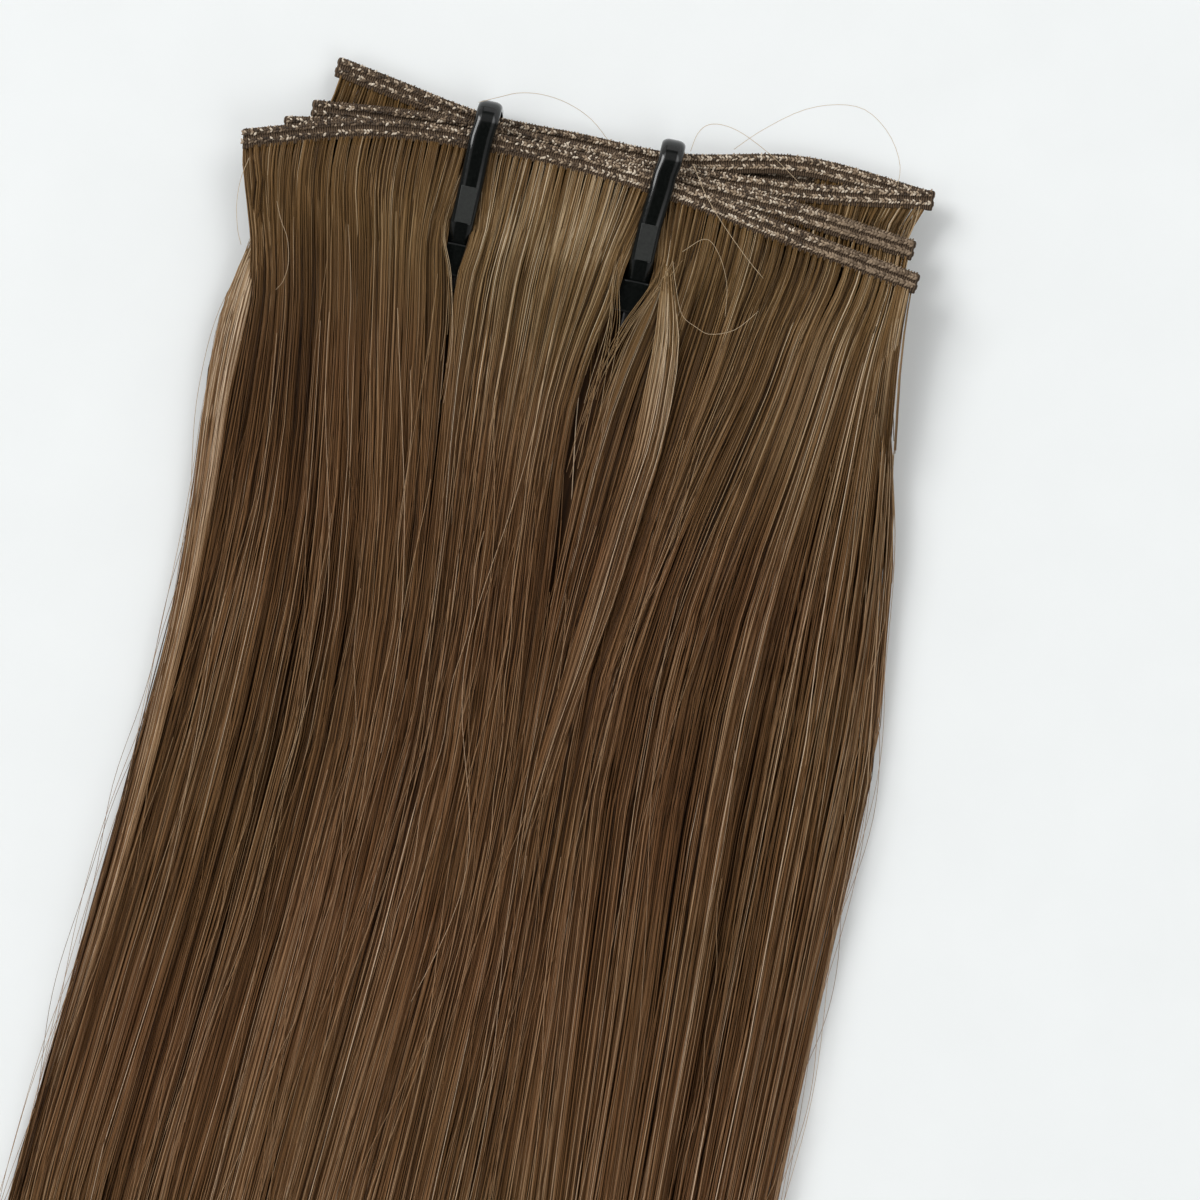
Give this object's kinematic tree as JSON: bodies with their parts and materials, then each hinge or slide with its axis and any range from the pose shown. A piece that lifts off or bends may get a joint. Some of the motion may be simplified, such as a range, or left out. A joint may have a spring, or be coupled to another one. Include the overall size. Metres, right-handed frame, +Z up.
{
  "type": "weft hair extension",
  "caption": "Straight brown hair extension lying flat: a long sewn weft band folded to and fro into a stack, its hair falling one way, held by black cable ties.",
  "frame": {"origin": "on the table under the middle of the object's box", "axes": "+X along the folded band, +Y from the hair's tips towards the band, +Z up from the table"},
  "size_m": [0.1174, 0.4076, 0.0107],
  "materials": {
    "weft_thread": "taupe thread with pale stitches",
    "hair": "straight brown hair with a soft sheen",
    "tie_plastic": "black nylon, glossy"
  },
  "bodies": {
    "root": {"weft_band": "weft_thread", "hair_fall": "hair", "tie_left": "tie_plastic", "tie_right": "tie_plastic"}
  },
  "joints": []
}
